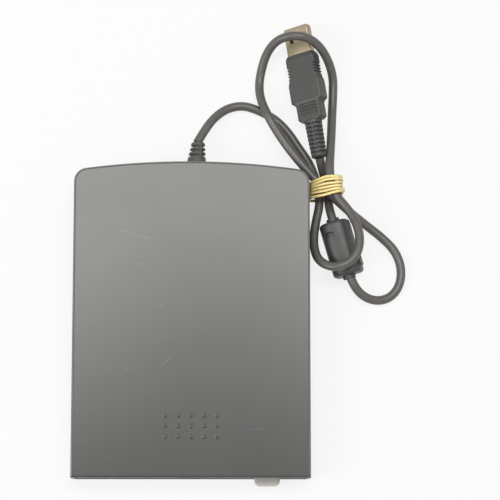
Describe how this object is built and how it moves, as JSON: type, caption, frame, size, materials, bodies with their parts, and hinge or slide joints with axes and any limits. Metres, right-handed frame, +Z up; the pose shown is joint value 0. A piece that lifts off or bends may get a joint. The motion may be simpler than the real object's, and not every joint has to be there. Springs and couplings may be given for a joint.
{
  "type": "external floppy disk drive",
  "caption": "Slim external drive for 3.5-inch floppy disks, with a slot, dust flap, eject button, loading gear, spindle and heads, and a fixed lead with a ferrite and a plug.",
  "frame": {"origin": "middle of the drive's own footprint, from the button's face to the rear crown, on the surface that its feet stand on", "axes": "+Z up, -Y out of the disk slot, +X to the right seen from behind the slot, so the button is at +X"},
  "size_m": [0.1477, 0.2076, 0.021],
  "materials": {
    "case_plastic": "satin, lightly textured, dark warm grey",
    "flap_plastic": "satin",
    "button_plastic": "satin, light warm grey",
    "lens": "clear-cast light pipe",
    "foot_rubber": "matte",
    "screw_steel": "bright plated",
    "spring_steel": "polished wire",
    "sheet_steel": "zinc-plated sheet",
    "board": "satin solder mask",
    "copper": "enamelled copper wire",
    "bronze": "sintered, oily",
    "magnet": "moulded ferrite",
    "carriage_plastic": "glass-filled",
    "ceramic": "polished ceramic",
    "motor_can": "drawn can",
    "chip": "moulded",
    "ribbon": "flexible film and wire",
    "relief_rubber": "satin",
    "cord_jacket": "satin vinyl",
    "plug_plastic": "satin, dark warm grey",
    "plug_metal": "nickel-plated",
    "tongue_plastic": "smooth",
    "contact_metal": "gold-plated",
    "ferrite": "sintered",
    "ferrite_plastic": "satin, dark warm grey",
    "band_rubber": "thin, slightly translucent",
    "plunger_plastic": "smooth"
  },
  "bodies": {
    "housing": {"top_case": "case_plastic", "bottom_case": "case_plastic", "rubber_feet": "foot_rubber", "case_screws": "screw_steel", "front_bezel": "case_plastic", "flap_pin": "spring_steel", "flap_spring": "spring_steel", "access_lens": "lens", "drive_chassis": "sheet_steel", "chassis_cover": "sheet_steel", "chassis_screws": "screw_steel", "board_screws": "screw_steel", "slide_springs": "spring_steel", "motor_board": "board", "stator_coils": "copper", "spindle_bearing": "bronze", "guide_rod": "screw_steel", "rod_clamp": "carriage_plastic", "stepper_motor": "motor_can", "screw_bearing": "carriage_plastic", "main_board": "board", "board_parts": "chip", "bridge_board": "board", "bridge_parts": "chip", "bridge_screws": "screw_steel", "flat_cable": "ribbon", "inner_leads": "ribbon", "sensor_switches": "chip", "strain_relief": "relief_rubber", "cord": "cord_jacket", "plug_boot": "plug_plastic", "plug_body": "plug_plastic", "plug_shell": "plug_metal", "plug_tongue": "tongue_plastic", "plug_contacts": "contact_metal", "ferrite_core": "ferrite", "ferrite_case_upper": "ferrite_plastic", "ferrite_case_lower": "ferrite_plastic", "rubber_band": "band_rubber"},
    "loading_slide": {"slide_plate": "sheet_steel", "eject_button": "button_plastic"},
    "holder": {"disk_holder": "sheet_steel", "holder_pins": "screw_steel", "lever_rivet": "screw_steel"},
    "lever": {"shutter_lever": "sheet_steel"},
    "flap": {"dust_flap": "flap_plastic"},
    "carriage": {"head_carriage": "carriage_plastic", "lower_head": "ceramic", "arm_pin": "screw_steel"},
    "head_arm": {"upper_head_arm": "carriage_plastic", "upper_head": "ceramic"},
    "screw": {"lead_screw": "screw_steel"},
    "spindle": {"spindle_rotor": "sheet_steel", "rotor_magnet": "magnet", "spindle_shaft": "screw_steel", "drive_pin": "screw_steel"},
    "disk_in_pin": {"disk_in_plunger": "plunger_plastic"},
    "write_protect_pin": {"write_protect_plunger": "plunger_plastic"},
    "density_pin": {"density_plunger": "plunger_plastic"}
  },
  "joints": [
    {"name": "eject_slide", "type": "slide", "parent": "housing", "child": "loading_slide", "axis": [0, 1, 0], "range_m": [-0.0038, 0.0005]},
    {"name": "holder_lift", "type": "slide", "parent": "housing", "child": "holder", "axis": [0, 0, 1], "range_m": [-0.0024, 0.00032]},
    {"name": "lever_swing", "type": "hinge", "parent": "holder", "child": "lever", "pos_m": [-0.038, 0.0274, 0.0141], "axis": [0, 0, 1], "range_deg": [0, 53], "stiffness_Nm_per_rad": 0.002},
    {"name": "flap_swing", "type": "hinge", "parent": "housing", "child": "flap", "pos_m": [0, -0.0639, 0.0144], "axis": [1, 0, 0], "range_deg": [0, 85], "stiffness_Nm_per_rad": 0.0002},
    {"name": "carriage_travel", "type": "slide", "parent": "housing", "child": "carriage", "axis": [0, 1, 0], "range_m": [-0.01481, 0.0004]},
    {"name": "arm_lift", "type": "hinge", "parent": "carriage", "child": "head_arm", "pos_m": [0, 0.0494, 0.0101], "axis": [1, 0, 0], "range_deg": [-1.5, 11.15]},
    {"name": "screw_turn", "type": "hinge", "parent": "housing", "child": "screw", "pos_m": [0.021, 0.0374, 0.009], "axis": [0, 1, 0], "range_deg": [-39, 1423]},
    {"name": "spindle_spin", "type": "hinge", "parent": "housing", "child": "spindle", "pos_m": [0, -0.012, 0.005], "axis": [0, 0, 1], "continuous": true},
    {"name": "disk_in_press", "type": "slide", "parent": "housing", "child": "disk_in_pin", "axis": [0, 0, 1], "range_m": [-0.0014, 0], "stiffness_N_per_m": 30},
    {"name": "write_protect_press", "type": "slide", "parent": "housing", "child": "write_protect_pin", "axis": [0, 0, 1], "range_m": [-0.0014, 0], "stiffness_N_per_m": 30},
    {"name": "density_press", "type": "slide", "parent": "housing", "child": "density_pin", "axis": [0, 0, 1], "range_m": [-0.0014, 0], "stiffness_N_per_m": 30}
  ],
  "couplings": [
    {"joint": "holder_lift", "follows": "eject_slide", "ratio": 0.63158},
    {"joint": "arm_lift", "follows": "eject_slide", "rad_per_m": -50.98},
    {"joint": "screw_turn", "follows": "carriage_travel", "rad_per_m": -1675.5}
  ]
}
